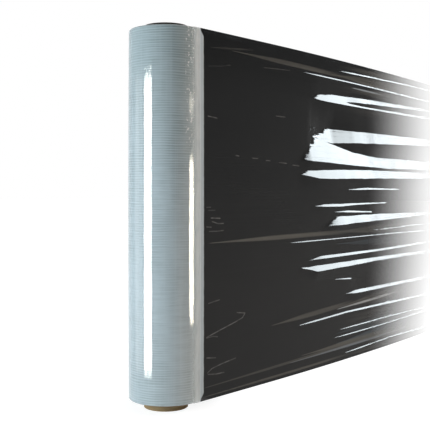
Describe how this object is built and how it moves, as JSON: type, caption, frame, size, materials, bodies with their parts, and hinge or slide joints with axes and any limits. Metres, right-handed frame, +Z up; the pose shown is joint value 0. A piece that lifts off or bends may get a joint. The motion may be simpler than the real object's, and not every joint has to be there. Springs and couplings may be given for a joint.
{
  "type": "stretch wrap roll",
  "caption": "Roll of stretch film on a cardboard core, standing on end, with a length of the film pulled off to one side and drawn into lengthwise folds.",
  "frame": {"origin": "centre of the core's bore at its foot, the face that the roll stands on", "axes": "+Z up the core, +X the way the film is pulled off, +Y away from the side where it leaves the roll"},
  "size_m": [0.7612, 0.105, 0.5175],
  "materials": {
    "cardboard": "matt brown board, spirally wound",
    "film": "glossy clear film, pale blue-grey where it is wound"
  },
  "bodies": {
    "root": {"core": "cardboard", "stretch_film": "film"}
  },
  "joints": []
}
